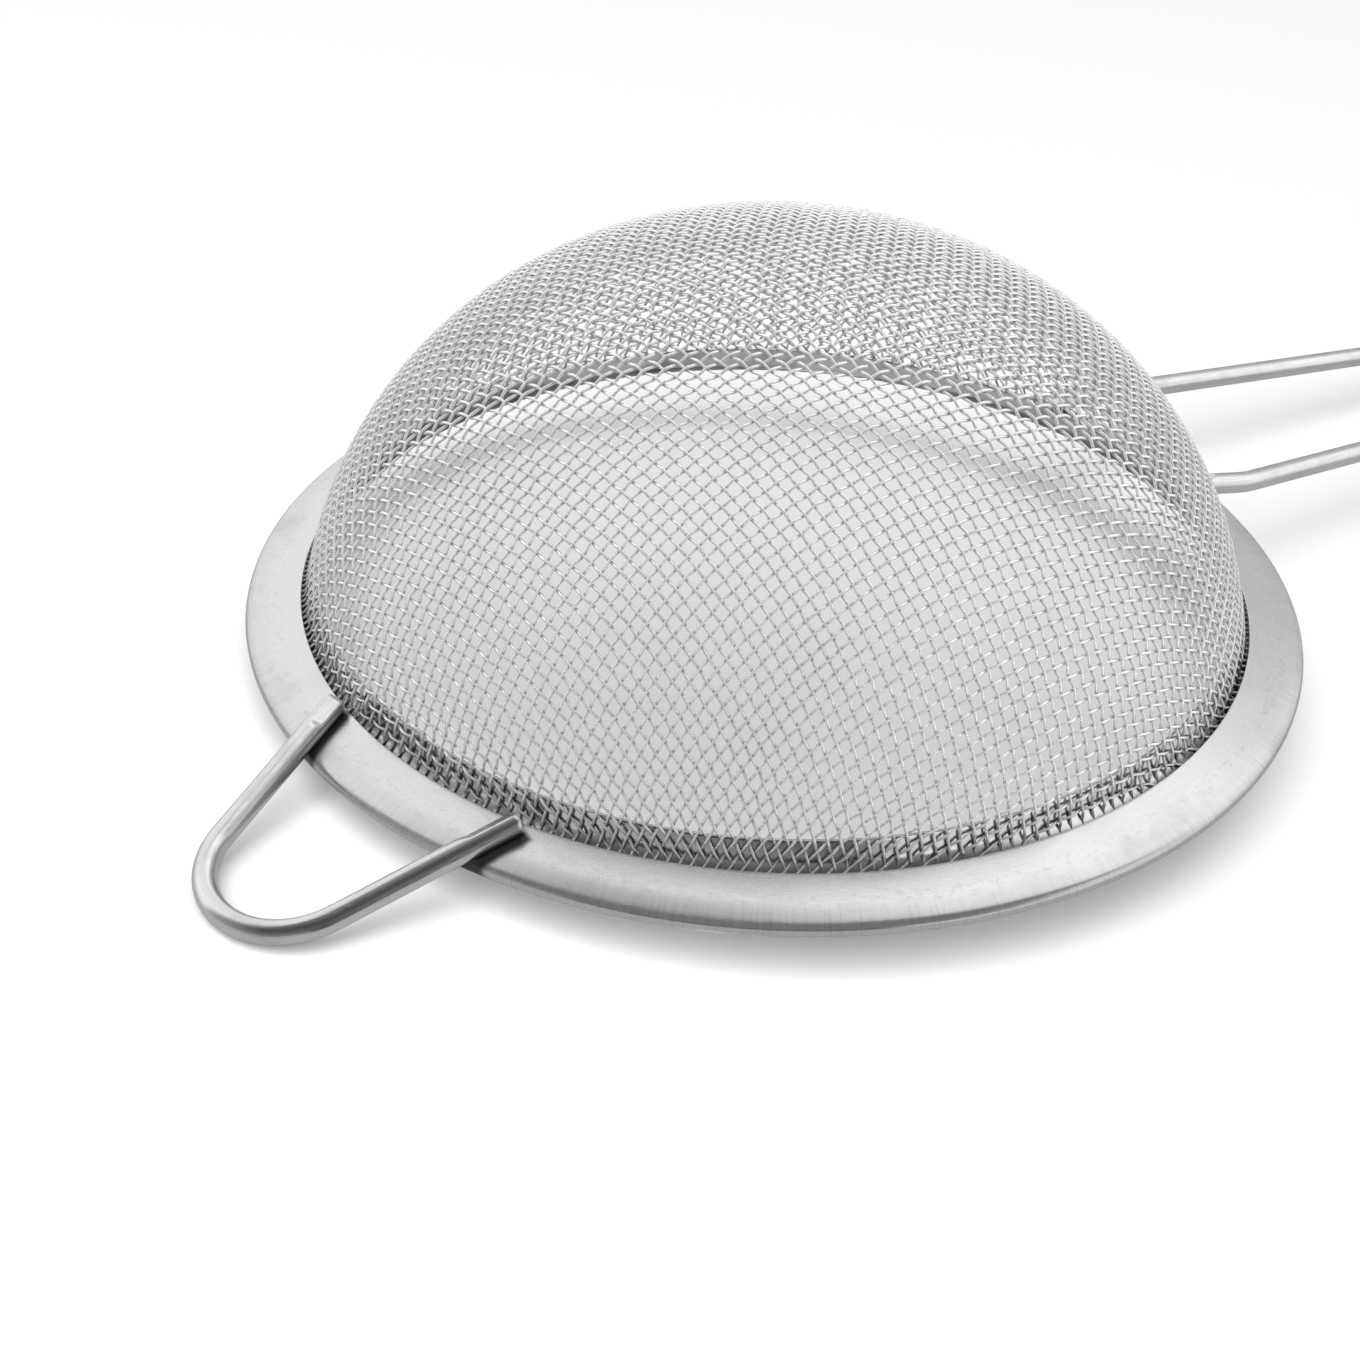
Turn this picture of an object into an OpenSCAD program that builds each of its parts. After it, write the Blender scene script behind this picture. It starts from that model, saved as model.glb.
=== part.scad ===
// Wire-mesh tea strainer, lying rim down with the bowl up.
// Origin on the bowl's axis, in the plane that the rim stands on. The handle runs along +X.

/* [Rim] */
// Diameter of the flange's inner edge, where the mesh comes out of the rim
bowl_d = 75.2; // [60:0.2:100]
// Width of the rim, from its inner edge to the outside of the fold
rim_w = 4.4; // [3.8:0.1:8]
// Thickness of the sheet that both rings are pressed from
sheet_t = 0.3; // [0.25:0.05:0.45]
// Fall of the flange next to the mesh, in degrees
flange_fall = 12; // [6:1:16]
// Fall of the flange where it meets the folded edge, in degrees
edge_fall = 24; // [20:1:32]
// Radius that the flange is crowned with towards its edge
crown_sheet_r = 9; // [6:0.5:10]
// Width of the folded lip that holds the lower ring in
fold_w = 0.9; // [0.5:0.1:1.5]
// Air left between the lower ring's edge and the inside of the fold
fold_gap = 0.1; // [0.05:0.05:0.3]
// Depth of the flat pressed on the underside of the folded edge
land_depth = 0.05; // [0.02:0.01:0.1]

/* [Collar] */
// Height of the collar above the flange's inner edge
collar_h = 2.25; // [1.5:0.05:4]
// How much more the collar leans in than the mesh beside it, in degrees
collar_ease = 2.5; // [2:0.5:6]

/* [Mesh bowl] */
// Thickness of the woven cloth, two wires thick
mesh_t = 0.46; // [0.3:0.02:0.6]
// Height of the bowl above the flange's inner edge
bowl_h = 28.3; // [25:0.5:33]
// Lean of the bowl's wall where it leaves the rim, in degrees
wall_lean = 10.5; // [4:0.5:14]
// Half angle of the flatter crown at the middle of the bowl, in degrees
crown_half = 21; // [16:1:28]
// How far the cloth's edge stays short of the crowned part of the flange
cloth_short = 0.25; // [0.1:0.05:0.6]

/* [Wires] */
// Diameter of the wire that the handle and the rest are bent from
wire_d = 1.8; // [1.4:0.1:2.4]
// How deep the welds press the wires flat on the flange
weld_press = 0.15; // [0.1:0.05:0.3]
// Distance from the flange's inner edge to the wires' cut ends
wire_end_gap = 0.6; // [0.5:0.1:0.9]
// Fall of the wires where they cross the flange, in degrees
wire_fall = 13; // [9:0.5:15]

/* [Rest loop] */
// How far the loop reaches out past the rim
rest_out = 14; // [10:0.5:22]
// Centreline radius of the loop's round end
rest_end_r = 6.4; // [4:0.1:8]
// Distance between the loop's two legs, on centre, at their welds
rest_w = 19.5; // [16:0.5:26]
// How far the loop is turned from straight opposite the handle, in degrees
rest_turn = 8.8; // [0:0.2:14]

/* [Handle] */
// How far the handle reaches out past the rim
handle_out = 98; // [70:1:140]
// Centreline radius of the handle's round end
handle_end_r = 5.1; // [3:0.1:8]
// Distance between the handle's two legs, on centre, at their bends
handle_w = 19; // [16:0.5:26]
// How far past the rim each leg bends
bend_out = 2.7; // [2:0.1:8]
// How far each leg is splayed out between its weld and its bend, in degrees
root_splay = 6; // [0:1:10]
// Fall of the handle beyond the bends, in degrees
handle_fall = 9; // [4:0.5:12]
// Centreline radius of the bends
bend_r = 12; // [6:1:20]

/* [Hidden] */
$fn = 96;

// Neighbouring stretches of one piece run this far into each other, so that they join.
lap = 0.02;

wire_r = wire_d / 2;
// Bending draws the wire down a little.
bent_wire_r = wire_r - 0.004;
wall_r = bowl_d / 2;
rim_r = wall_r + rim_w;

// The folded edge wraps the cloth's thickness and three layers of sheet.
fold_r = (3 * sheet_t + mesh_t) / 2;
stack_t = 2 * sheet_t + mesh_t;

// The flange: a straight cone, then a crowned stretch that ends at the fold.
flange_l = (rim_r - fold_r - wall_r + crown_sheet_r * sin(flange_fall)
            - (crown_sheet_r - fold_r) * sin(edge_fall)) / cos(flange_fall);
flange_drop = flange_l * sin(flange_fall) + crown_sheet_r * cos(flange_fall)
              - (crown_sheet_r - fold_r) * cos(edge_fall);
edge_z = fold_r - land_depth + flange_drop;
knee = [wall_r, edge_z];
flange_end = knee + flange_l * [cos(flange_fall), -sin(flange_fall)];
crown_c = flange_end - crown_sheet_r * [sin(flange_fall), cos(flange_fall)];
fold_c = crown_c + (crown_sheet_r - fold_r) * [sin(edge_fall), cos(edge_fall)];

// The bowl: a side arc from the rim and a crown arc on the axis, tangent to each other.
// Two equations, for the radius and the height at the rim, give the two arc radii.
bowl_foot = knee - (sheet_t + mesh_t / 2) * [cos(wall_lean), sin(wall_lean)];
bowl_rise = edge_z + bowl_h - mesh_t / 2 - bowl_foot[1];
crown_s = sin(crown_half);
crown_v = 1 - cos(crown_half);
side_s = cos(wall_lean) - sin(crown_half);
side_v = cos(crown_half) - sin(wall_lean);
side_arc_r = (crown_s * bowl_rise - crown_v * bowl_foot[0]) / (crown_s * side_v - crown_v * side_s);
crown_arc_r = (bowl_foot[0] - side_s * side_arc_r) / crown_s;
lap_angle = lap / side_arc_r * 180 / PI;
side_arc_c = bowl_foot - side_arc_r * [cos(wall_lean), sin(wall_lean)];
crown_arc_c = [0, bowl_foot[1] + bowl_rise - crown_arc_r];

collar_lean = wall_lean + collar_ease;
cloth_tuck = flange_l - cloth_short;

// The wires' centrelines stand over the straight part of the flange.
weld_r = wall_r + flange_l / 2 * cos(flange_fall);
weld_z = edge_z - flange_l / 2 * sin(flange_fall) + (wire_r - weld_press) / cos(flange_fall);
wire_end_r = wall_r + wire_end_gap;
// Clearance pressed into the wires over the flange's crown
seat_ease = 0.003;
rest_reach = rim_r + rest_out;
bend_x = rim_r + bend_out;
handle_reach = rim_r + handle_out;

// Distance along +X at which a circle of radius r is y off the axis
function chord_x(r, y) = sqrt(r * r - y * y);

// Angle of the straight leg that leaves a point y off the axis and runs on to an end
// arc of radius r whose centre is l further out
function leg_angle(l, y, r) = atan2(y, l) - asin(r / sqrt(l * l + y * y));

// Band between two radii, from angle a0 to angle a1
module band(r0, r1, a0, a1) {
    steps = ceil((a1 - a0) / 45);
    intersection() {
        difference() {
            circle(r1);
            circle(r0);
        }
        polygon(concat([[0, 0]], [for (i = [0 : steps])
            let (a = a0 + (a1 - a0) * i / steps) 1.5 * r1 * [cos(a), sin(a)]]));
    }
}

// One layer of the rim's straight cone, from depth d0 to d1 under the flange's top
module cone_layer(d0, d1, l) {
    translate(knee)
        rotate(-flange_fall)
            translate([-lap, -d1])
                square([l + 2 * lap, d1 - d0]);
}

// The flange's top and the metal under it, which the wires are pressed on to
module rim_seat() {
    rotate_extrude()
        union() {
            polygon([knee, flange_end, [flange_end[0], 0], [wall_r, 0]]);
            translate(crown_c)
                circle(crown_sheet_r + seat_ease);
        }
}

// Straight round wire along +X, from the origin
module rod(l) {
    rotate([0, 90, 0])
        cylinder(h = l, r = wire_r);
}

// Round end of a wire, centred on the origin and open towards -X
module end_arc(r, angle) {
    rotate([0, 0, angle - 90])
        rotate_extrude(angle = 180 - 2 * angle)
            translate([r, 0])
                circle(bent_wire_r, $fn = 48);
}

module mesh_bowl() {
    color("lightgray")
        rotate_extrude()
            union() {
                translate(crown_arc_c)
                    band(crown_arc_r - mesh_t / 2, crown_arc_r + mesh_t / 2, 90 - crown_half, 90);
                translate(side_arc_c)
                    band(side_arc_r - mesh_t / 2, side_arc_r + mesh_t / 2,
                         wall_lean - lap_angle, 90 - crown_half + lap_angle);
                translate(knee)
                    band(sheet_t, sheet_t + mesh_t, 180 + wall_lean, 270 - flange_fall);
                cone_layer(sheet_t, sheet_t + mesh_t, cloth_tuck);
            }
}

module flange_ring() {
    color("gainsboro")
        rotate_extrude()
            difference() {
                union() {
                    cone_layer(0, sheet_t, flange_l);
                    translate(crown_c)
                        band(crown_sheet_r - sheet_t, crown_sheet_r, 90 - edge_fall, 90 - flange_fall);
                    translate(fold_c)
                        band(fold_r - sheet_t, fold_r, -90 - edge_fall, 90 - edge_fall);
                    translate(crown_c)
                        band(crown_sheet_r - 2 * fold_r, crown_sheet_r - 2 * fold_r + sheet_t,
                             90 - edge_fall, 90 - edge_fall + fold_w / crown_sheet_r * 180 / PI);
                }
                // The land
                translate([0, -rim_r])
                    square([2 * rim_r, rim_r]);
            }
}

module collar_ring() {
    color("silver")
        rotate_extrude()
            union() {
                translate(knee)
                    rotate(collar_lean)
                        translate([-stack_t, 0])
                            square([sheet_t, collar_h / cos(collar_lean)]);
                translate(knee)
                    band(stack_t - sheet_t, stack_t, 180 + collar_lean, 270 - flange_fall);
                cone_layer(stack_t - sheet_t, stack_t, flange_l);
                translate(crown_c)
                    band(crown_sheet_r - stack_t, crown_sheet_r - stack_t + sheet_t,
                         90 - edge_fall + fold_gap / crown_sheet_r * 180 / PI, 90 - flange_fall);
            }
}

// U of wire in a plane that falls away from the rim, with its legs spread at the welds
module rest_loop() {
    root_y = rest_w / 2;
    root_x = chord_x(weld_r, root_y);
    end_l = (rest_reach - wire_r - root_x) / cos(wire_fall) - rest_end_r;
    spread = leg_angle(end_l, root_y, rest_end_r);
    leg_l = sqrt(end_l * end_l + root_y * root_y - rest_end_r * rest_end_r);
    tail_l = root_x - chord_x(wire_end_r, root_y);
    color("darkgray")
        rotate([0, 0, 180 + rest_turn])
            difference() {
                translate([root_x, 0, weld_z])
                    rotate([0, wire_fall, 0]) {
                        translate([end_l, 0, 0])
                            end_arc(rest_end_r, spread);
                        for (side = [-1, 1])
                            translate([0, side * root_y, 0])
                                rotate([0, 0, -side * spread])
                                    translate([-tail_l, 0, 0])
                                        rod(tail_l + leg_l + lap);
                    }
                rim_seat();
            }
}

// Long U of wire: each leg crosses the flange, bends a little and runs on to the round end
module handle_wire() {
    bend_y = handle_w / 2;
    end_l = (handle_reach - wire_r - bend_x) / cos(handle_fall) - handle_end_r;
    taper = leg_angle(end_l, bend_y, handle_end_r);
    leg_l = sqrt(end_l * end_l + bend_y * bend_y - handle_end_r * handle_end_r);

    // The root's direction as the leg beyond the bend sees it
    dip = wire_fall - handle_fall;
    root = [cos(taper) * cos(root_splay) * cos(dip) - sin(taper) * sin(root_splay),
            sin(taper) * cos(root_splay) * cos(dip) + cos(taper) * sin(root_splay),
            -cos(root_splay) * sin(dip)];
    bend = acos(root[0]);
    roll = atan2(root[1], -root[2]);
    bend_cut = bend_r * tan(bend / 2);

    weld_y = bend_y - (bend_x - weld_r) * tan(root_splay);
    bend_z = weld_z - (bend_x - chord_x(weld_r, weld_y)) * tan(wire_fall);
    root_l = (bend_x - chord_x(wire_end_r, weld_y)) / cos(wire_fall) / cos(root_splay);
    color("darkgray")
        difference() {
            translate([bend_x, 0, bend_z])
                rotate([0, handle_fall, 0]) {
                    translate([end_l, 0, 0])
                        end_arc(handle_end_r, taper);
                    for (side = [-1, 1])
                        translate([0, side * bend_y, 0])
                            rotate([0, 0, -side * taper])
                                rotate([side * roll, 0, 0]) {
                                    translate([bend_cut - lap, 0, 0])
                                        rod(leg_l - bend_cut + 2 * lap);
                                    translate([bend_cut, 0, bend_r])
                                        rotate([90, 0, 0])
                                            rotate([0, 0, 270 - bend])
                                                rotate_extrude(angle = bend)
                                                    translate([bend_r, 0])
                                                        circle(bent_wire_r, $fn = 48);
                                    rotate([0, bend, 0])
                                        translate([-root_l, 0, 0])
                                            rod(root_l - bend_cut + lap);
                                }
                }
            rim_seat();
        }
}

mesh_bowl();
flange_ring();
collar_ring();
rest_loop();
handle_wire();
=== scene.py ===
import math
from types import SimpleNamespace

import bmesh
import bpy
import numpy as np
from bpy.props import FloatProperty, FloatVectorProperty, IntProperty, PointerProperty
from bpy.types import Operator, Panel, PropertyGroup
from mathutils import Matrix, Vector


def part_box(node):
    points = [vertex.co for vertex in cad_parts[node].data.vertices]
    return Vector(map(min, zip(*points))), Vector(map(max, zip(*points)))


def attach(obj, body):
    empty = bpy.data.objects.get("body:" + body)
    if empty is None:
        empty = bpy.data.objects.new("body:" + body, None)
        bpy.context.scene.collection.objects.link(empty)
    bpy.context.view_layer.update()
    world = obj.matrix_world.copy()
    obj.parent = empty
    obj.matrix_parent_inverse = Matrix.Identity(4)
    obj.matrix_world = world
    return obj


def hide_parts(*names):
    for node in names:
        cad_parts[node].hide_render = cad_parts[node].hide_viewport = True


bl_info = {
    "name": "Wire-mesh tea strainer",
    "version": (1, 0, 0),
    "blender": (4, 5, 0),
    "location": "3D View > Sidebar > Strainer",
    "description": "Weaves the cloth, folds the rim and bends the wires of a tea strainer",
    "category": "Object",
}

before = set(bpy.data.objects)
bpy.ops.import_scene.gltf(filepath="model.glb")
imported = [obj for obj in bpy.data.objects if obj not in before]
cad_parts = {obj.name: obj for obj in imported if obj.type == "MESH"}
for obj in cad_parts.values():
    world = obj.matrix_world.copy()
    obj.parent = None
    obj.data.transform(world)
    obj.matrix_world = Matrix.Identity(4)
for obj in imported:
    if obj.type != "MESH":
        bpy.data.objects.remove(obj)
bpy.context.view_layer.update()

MM = 0.001
DEG = math.radians(1)


def length(name, description, millimetres):
    return FloatProperty(name=name, description=description, default=millimetres * MM,
                         precision=5, unit="LENGTH")


def angle(name, description, degrees):
    return FloatProperty(name=name, description=description, default=degrees * DEG,
                         unit="ROTATION")


def tint(name, description, colour):
    return FloatVectorProperty(name=name, description=description, default=colour, size=3,
                               min=0, max=1, subtype="COLOR")


def count(name, description, number):
    return IntProperty(name=name, description=description, default=number, min=1)


def plain(name, description, number):
    return FloatProperty(name=name, description=description, default=number)


# ---------------------------------------------------------------- settings

class RimSettings(PropertyGroup):
    """The two pressed rings that pinch the cloth."""
    bowl_diameter: length("Bowl diameter", "Inner edge of the flange, where the cloth comes out", 75.2)
    sheet: length("Sheet", "Thickness of the sheet both rings are pressed from", 0.3)
    flange_fall: angle("Flange fall", "Fall of the flange next to the cloth", 12)
    edge_fall: angle("Edge fall", "Fall of the flange where it meets the fold", 24)
    crown_radius: length("Crown radius", "Radius the flange is crowned with towards its edge", 9)
    fold_width: length("Fold width", "Width of the lip that is folded under", 0.9)
    fold_gap: length("Fold gap", "Air between the lower ring's edge and the fold", 0.1)
    land: length("Land", "Depth of the flat worn on the underside of the fold", 0.05)
    collar_ease: angle("Collar ease", "How much more the collar leans in than the cloth", 2.5)
    foot_bend: length("Foot bend", "Radius of the collar's bend into its flat", 1.8)
    cut_edge: length("Cut edge", "Radius left on the sheet's cut edges", 0.06)
    wobble: length("Wobble", "How far pressing leaves the flange out of true", 0.012)
    segments: count("Segments", "Steps round each ring", 360)
    seed: count("Seed", "Seed of the flange's unevenness", 11)


class ClothSettings(PropertyGroup):
    """The woven wire cloth and the bowl it is drawn into."""
    wire: length("Wire", "Diameter of the cloth's wire", 0.23)
    warp_pitch: length("Warp pitch", "Distance between crossings along a warp wire", 1.01)
    weft_pitch: length("Weft pitch", "Distance between crossings along a weft wire", 0.99)
    warp_turn: angle("Warp turn", "Direction of the warp at the top of the bowl", -4.4)
    skew: angle("Skew", "Angle between warp and weft at the top of the bowl", 101)
    wall_lean: angle("Wall lean", "Lean of the bowl's wall where it leaves the rim", 10.5)
    crown_half: angle("Crown", "Half angle of the flatter crown at the top of the bowl", 21)
    tuck_short: length("Tuck", "How far the cloth's edge stays short of the crowned flange", 0.25)
    straying: length("Straying", "How far the crossings stray from an even net", 0.025)
    sides: count("Sides", "Flats round each wire of the cloth", 6)
    steps: count("Steps", "Steps from one crossing to the next", 4)
    seed: count("Seed", "Seed of the cloth's unevenness", 7)


class BentWireSettings(PropertyGroup):
    """The wire that the rest loop and the handle are bent from."""
    wire: length("Wire", "Diameter of the wire", 1.8)
    weld_press: length("Weld press", "How deep the welds press the wires on the flange", 0.15)
    end_gap: length("End gap", "Distance from the flange's inner edge to the cut ends", 0.6)
    fall: angle("Fall", "Fall of the wires where they cross the flange", 13)
    rest_out: length("Rest reach", "How far the loop reaches out past the rim", 14)
    rest_end: length("Rest end", "Radius of the loop's round end, on centre", 6.4)
    rest_width: length("Rest width", "Distance between the loop's legs at their welds", 19.5)
    rest_turn: angle("Rest turn", "Turn of the loop from straight opposite the handle", 8.8)
    handle_end: length("Handle end", "Radius of the handle's round end, on centre", 5.1)
    handle_width: length("Handle width", "Distance between the handle's legs at their bends", 19)
    handle_fall: angle("Handle fall", "Fall of the handle beyond its bends", 9)
    splay: angle("Splay", "How far each leg is splayed from its weld to its bend", 6)
    bend_out: length("Bend", "How far past the rim each leg bends", 2.7)
    bend_radius: length("Bend radius", "Radius of the bends, on centre", 12)
    sides: count("Sides", "Flats round the wire", 36)
    step: length("Step", "Distance between the rings of the wire's mesh", 0.22)


class SteelSettings(PropertyGroup):
    """Colours of the stainless steel, and of the shade painted on it."""
    sheet: tint("Sheet", "Satin sheet of the rim", (0.70, 0.692, 0.694))
    collar: tint("Collar", "Bright sheet of the collar", (0.80, 0.791, 0.794))
    bent_wire: tint("Bent wire", "Drawn wire of the handle and the loop", (0.71, 0.702, 0.704))
    cloth: tint("Cloth", "Fine wire of the cloth", (0.94, 0.931, 0.935))
    # The tarnish grey marks real smears and scratches, and is also painted as shade on the cloth, on
    # the collar's inside and at the fold's edge.
    tarnish_and_shade: tint("Tarnish", "Grey film left where wires rub", (0.22, 0.218, 0.215))
    # The weld colour is painted shadow: a near-black strip on the flange beside each leg, on one side
    # only, in place of the leg's shadow and dark reflection.
    weld: tint("Weld", "Dark film left beside the welds", (0.035, 0.032, 0.03))
    shadow_side: angle("Film side", "Direction that the dark side of each leg faces", -40.34)


class StudioSettings(PropertyGroup):
    """Floor, light and camera."""
    orbit: angle("Orbit", "Direction of the camera from the bowl's axis", -130.34)
    rise: angle("Rise", "Height of the camera above the rim's plane", 32.6)
    distance: length("Distance", "Distance of the camera from the bowl's axis", 209.6)
    aim_turn: angle("Aim turn", "Turn of the camera to the side", -1.95)
    aim_tilt: angle("Aim tilt", "Tilt of the camera downwards", -1.91)
    aim_roll: angle("Aim roll", "Roll of the camera", 3.25)
    lens: plain("Lens", "Focal length for a 36 mm wide picture", 68.82)
    floor_grey: plain("Floor", "Reflectance of the floor", 0.86)
    floor_lift: plain("Lift", "White added to the floor where it is looked at", 0.14)
    # The panel is painted light on the floor seen through the bowl.
    panel_grey: plain("Panel", "Reflectance of the floor seen through the bowl", 0.2)
    panel_lift: plain("Panel lift", "White added to the floor seen through the bowl", 0.48)
    fill: plain("Fill", "Strength of the room's even light", 0.2)
    softbox: plain("Softbox", "Power of the softbox in watts", 34)


# ---------------------------------------------------------------- rim section

def polar(a, r=1.0):
    """A point of a section, at an angle and a distance from its middle."""
    return np.array([r * math.cos(a), r * math.sin(a)])


def ramp(value, low, high):
    """0 below a range and 1 above it, with a smooth run between them."""
    share = np.clip((value - low) / (high - low), 0, 1)
    return share * share * (3 - 2 * share)


def rim_shape():
    """Named points of the rim's section, each as distance from the axis and height."""
    rim = bpy.context.scene.strainer_rim
    cloth = bpy.context.scene.strainer_cloth
    t, thick = rim.sheet, 2 * cloth.wire
    fall, edge, crown_r = rim.flange_fall, rim.edge_fall, rim.crown_radius
    wall_r = rim.bowl_diameter / 2
    rim_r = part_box("flange_ring")[1][0]
    fold_r = (3 * t + thick) / 2
    flange_l = (rim_r - fold_r - wall_r + crown_r * math.sin(fall)
                - (crown_r - fold_r) * math.sin(edge)) / math.cos(fall)
    knee = np.array([wall_r, fold_r - rim.land + flange_l * math.sin(fall)
                     + crown_r * math.cos(fall) - (crown_r - fold_r) * math.cos(edge)])
    flange_end = knee + polar(-fall, flange_l)
    crown_c = flange_end - polar(math.pi / 2 - fall, crown_r)
    fold_c = crown_c + polar(math.pi / 2 - edge, crown_r - fold_r)
    lean = cloth.wall_lean
    return SimpleNamespace(t=t, thick=thick, stack=2 * t + thick, wall_r=wall_r, rim_r=rim_r,
                           fold_r=fold_r, flange_l=flange_l, knee=knee, crown_c=crown_c,
                           fold_c=fold_c, fall=fall, edge=edge, crown_r=crown_r, lean=lean,
                           collar_lean=lean + rim.collar_ease,
                           foot=knee - polar(lean, t + thick / 2))


def flange_height(shape, r):
    """Height of the flange's upper face at a distance from the axis."""
    cone = shape.knee[1] - (r - shape.knee[0]) * math.tan(shape.fall)
    reach = np.clip(r - shape.crown_c[0], 0, shape.crown_r)
    crown = shape.crown_c[1] + np.sqrt(shape.crown_r ** 2 - reach ** 2)
    past = shape.crown_c[0] + shape.crown_r * math.sin(shape.fall)
    return np.where(r < past, cone, crown)


def along_line(start, direction, reach, normal, step):
    """Points and normals of a straight stretch of a section."""
    stops = np.linspace(0, reach, max(2, int(reach / step) + 1))
    return [(start + s * direction, normal) for s in stops]


def along_arc(centre, radius, a0, a1, step, outward=1):
    """Points and normals of a round stretch of a section, from angle a0 to a1."""
    stops = np.linspace(a0, a1, max(2, int(abs(a1 - a0) / step) + 1))
    return [(centre + polar(a, radius), outward * polar(a)) for a in stops]


def sheet_outline(path, thickness, radius):
    """Closed outline of a sheet whose outer face follows path, its cut edges eased."""
    same, edge_steps = 1e-7, 4
    kept = [path[0]]
    for point, normal in path[1:]:
        if np.linalg.norm(point - kept[-1][0]) > same:
            kept.append((point, normal))

    def eased(end, following, side):
        """A rounded edge, of the outer face for side 1 and of the inner one for side -1."""
        point, normal = end
        inwards = np.array([normal[1], -normal[0]])
        inwards *= math.copysign(1, np.dot(inwards, following[0] - point))
        if side < 0:
            point = point - thickness * normal
        centre = point + radius * inwards - side * radius * normal
        return [centre + radius * (side * math.sin(a) * normal - math.cos(a) * inwards)
                for a in np.linspace(0, math.pi / 2, edge_steps + 1)]

    middle = kept[1:-1]
    outline = eased(kept[0], kept[1], 1)
    outline += [p for p, n in middle]
    outline += eased(kept[-1], kept[-2], 1)[::-1]
    outline += eased(kept[-1], kept[-2], -1)
    outline += [p - thickness * n for p, n in reversed(middle)]
    outline += eased(kept[0], kept[1], -1)[::-1]
    return np.array(outline)


def turn_ring(name, outline, segments, lift=None):
    """Turns a closed outline round the bowl's axis into a ring."""
    around = np.linspace(0, 2 * math.pi, segments, endpoint=False)
    r, z = outline[:, 0], outline[:, 1]
    a, rr = np.meshgrid(around, r, indexing="ij")
    zz = np.broadcast_to(z, rr.shape).copy()
    if lift is not None:
        zz += lift(rr, a)
    points = np.stack([rr * np.cos(a), rr * np.sin(a), zz], -1).reshape(-1, 3)
    n = len(outline)
    i, j = np.meshgrid(np.arange(segments), np.arange(n), indexing="ij")
    i2, j2 = (i + 1) % segments, (j + 1) % n
    quads = np.stack([i * n + j, i * n + j2, i2 * n + j2, i2 * n + j], -1).reshape(-1, 4)
    piece = add_piece(name, points.tolist(), faces=quads.tolist())
    face_out(piece.data)
    piece.data.shade_smooth()
    return piece


def face_out(mesh):
    """Merges doubled points and turns every face of a closed mesh outwards."""
    shape = bmesh.new()
    shape.from_mesh(mesh)
    bmesh.ops.remove_doubles(shape, verts=shape.verts, dist=1e-8)
    bmesh.ops.recalc_face_normals(shape, faces=shape.faces)
    if shape.calc_volume(signed=True) < 0:
        bmesh.ops.reverse_faces(shape, faces=shape.faces)
    shape.to_mesh(mesh)
    shape.free()


def add_object(name, data):
    added = bpy.data.objects.new(name, data)
    bpy.context.scene.collection.objects.link(added)
    return added


def add_piece(name, points, edges=(), faces=()):
    """Adds a piece with a mesh of points, and of edges or faces between them."""
    mesh = bpy.data.meshes.new(name)
    mesh.from_pydata(points, edges, faces)
    return add_object(name, mesh)


def finish_piece(piece, node, material):
    """Gives a piece its steel and ties it to the packed frame."""
    piece.data.materials.clear()
    piece.data.materials.append(material)
    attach(piece, "root")
    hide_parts(node)


def uneven_press(depth, seed):
    """Slow waves that pressing and folding leave in the flange."""
    draw = np.random.default_rng(seed)
    # Each wave has its turns round the ring, its phase and its weight.
    number, fewest, most, lightest = 14, 2, 25, 0.3
    waves = [(int(draw.integers(fewest, most + 1)), draw.uniform(0, 2 * math.pi),
              draw.uniform(lightest, 1)) for _ in range(number)]
    total = sum(weight for _, _, weight in waves)

    def height(a):
        # Added up, the waves seldom reach more than a third of their full sum.
        wave = sum(weight * np.sin(turns * a + phase) for turns, phase, weight in waves)
        return depth * wave / total * 3
    return height


# ---------------------------------------------------------------- woven cloth

class Bowl:
    """The cloth's middle face: a crown sphere and a side torus that meet tangentially."""

    def __init__(self, foot, top, lean, crown_half):
        s, v = math.sin(crown_half), 1 - math.cos(crown_half)
        side_s = math.cos(lean) - s
        side_v = math.cos(crown_half) - math.sin(lean)
        self.side_r = (s * (top - foot[1]) - v * foot[0]) / (s * side_v - v * side_s)
        self.crown_r = (foot[0] - side_s * self.side_r) / s
        self.side_c = foot - polar(lean, self.side_r)
        self.crown_z = top - self.crown_r
        self.crown_half = crown_half
        self.reach = self.crown_r * crown_half + self.side_r * (math.pi / 2 - lean - crown_half)

    def measure(self, points):
        """Distance of points from the face, and the face's outward normals there."""
        r = np.maximum(np.hypot(points[:, 0], points[:, 1]), 1e-9)
        crown = r < (points[:, 2] - self.crown_z) * math.tan(self.crown_half)
        across = np.where(crown, r, r - self.side_c[0])
        up = points[:, 2] - np.where(crown, self.crown_z, self.side_c[1])
        away = np.hypot(across, up)
        flat = across / away / r
        normals = np.stack([flat * points[:, 0], flat * points[:, 1], up / away], -1)
        return away - np.where(crown, self.crown_r, self.side_r), normals

    def down(self, distance, azimuth):
        """Points a distance down from the top of the bowl, along one meridian."""
        on_crown = distance / self.crown_r
        on_side = self.crown_half + (distance - self.crown_r * self.crown_half) / self.side_r
        crown = on_crown < self.crown_half
        r = np.where(crown, self.crown_r * np.sin(on_crown),
                     self.side_c[0] + self.side_r * np.sin(on_side))
        z = np.where(crown, self.crown_z + self.crown_r * np.cos(on_crown),
                     self.side_c[1] + self.side_r * np.cos(on_side))
        return np.stack([r * math.cos(azimuth), r * math.sin(azimuth), z], -1)


# How often the crossings of the net are mended, and how far off one may be left
NET_PASSES = 7
NET_MISS = 0.001 * MM


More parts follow.
